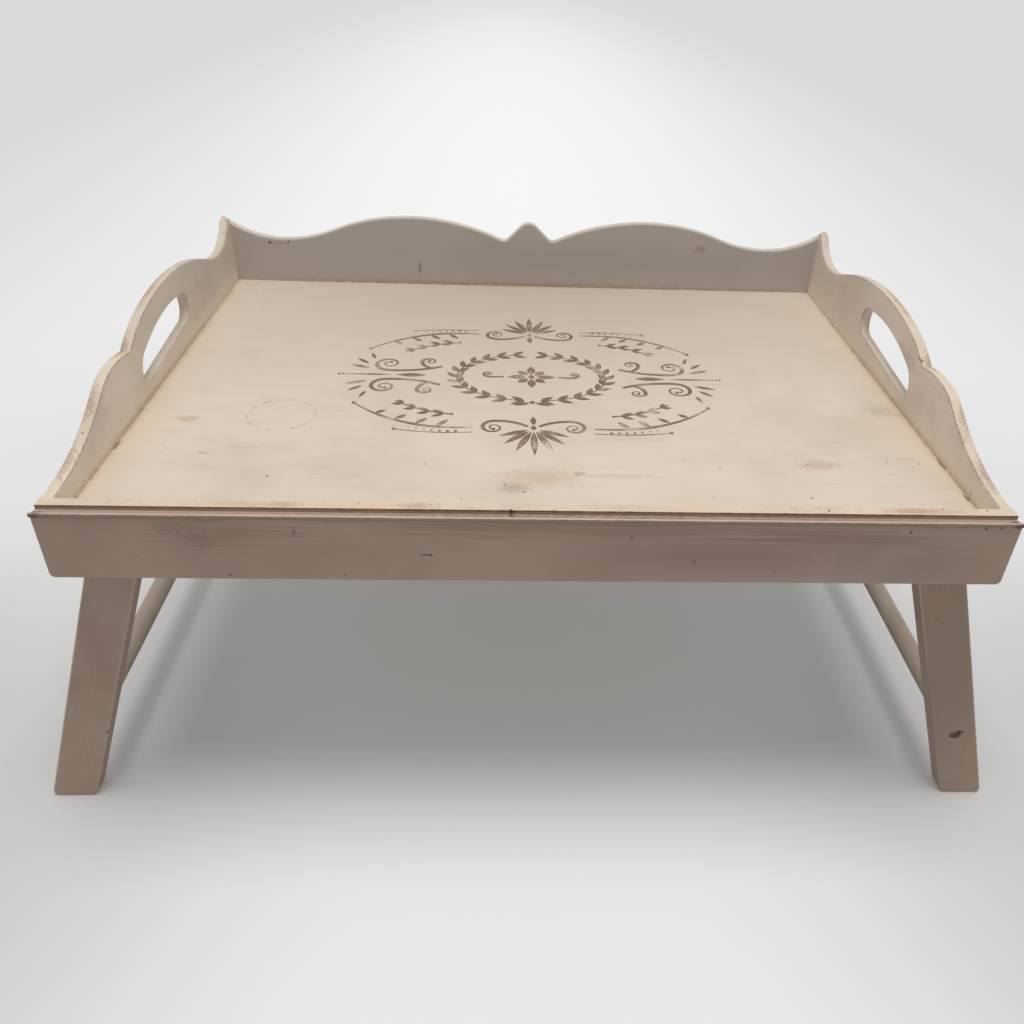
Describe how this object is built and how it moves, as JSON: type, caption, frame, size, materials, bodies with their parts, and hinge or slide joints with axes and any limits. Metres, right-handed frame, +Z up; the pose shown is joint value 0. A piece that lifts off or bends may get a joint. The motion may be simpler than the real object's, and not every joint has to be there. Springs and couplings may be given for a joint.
{
  "type": "bed tray table",
  "caption": "Wooden bed tray with scalloped back and sides, hand slots, a moulded front edge and two leg frames that fold flat beneath it.",
  "frame": {"origin": "on the ground, at the middle of the footprint with the legs open", "axes": "+X to the right, seen from the moulded front edge; -Y towards the person in bed, on the moulded side; +Z up"},
  "size_m": [0.7326, 0.4564, 0.328],
  "materials": {
    "painted_boards": "cream chalk paint, worn",
    "painted_floor": "cream chalk paint with a faded brown print",
    "painted_legs": "cream chalk paint, worn at the edges",
    "hardware": "dull zinc"
  },
  "bodies": {
    "tray": {"floor_panel": "painted_floor", "front_wall": "painted_boards", "front_fascia": "painted_boards", "back_panel": "painted_boards", "left_side_panel": "painted_boards", "right_side_panel": "painted_boards", "left_stop_rail": "painted_boards", "right_stop_rail": "painted_boards", "left_rail_screws": "hardware", "right_rail_screws": "hardware", "left_pivot_bolts": "hardware", "right_pivot_bolts": "hardware", "left_pivot_spacers": "hardware", "right_pivot_spacers": "hardware", "left_pivot_washers": "hardware", "right_pivot_washers": "hardware", "left_pivot_nuts": "hardware", "right_pivot_nuts": "hardware"},
    "left_leg_frame": {"left_front_leg": "painted_legs", "left_rear_leg": "painted_legs", "left_stretcher": "painted_legs", "left_stretcher_screws": "hardware", "left_filler_plugs": "painted_legs"},
    "right_leg_frame": {"right_front_leg": "painted_legs", "right_rear_leg": "painted_legs", "right_stretcher": "painted_legs", "right_stretcher_screws": "hardware", "right_filler_plugs": "painted_legs"}
  },
  "joints": [
    {"name": "left_leg_fold", "type": "hinge", "parent": "tray", "child": "left_leg_frame", "pos_m": [-0.26585, 0, 0.23925], "axis": [0, -1, 0], "range_deg": [0, 109.6]},
    {"name": "right_leg_fold", "type": "hinge", "parent": "tray", "child": "right_leg_frame", "pos_m": [0.26585, 0, 0.23925], "axis": [0, 1, 0], "range_deg": [0, 109.6]}
  ]
}
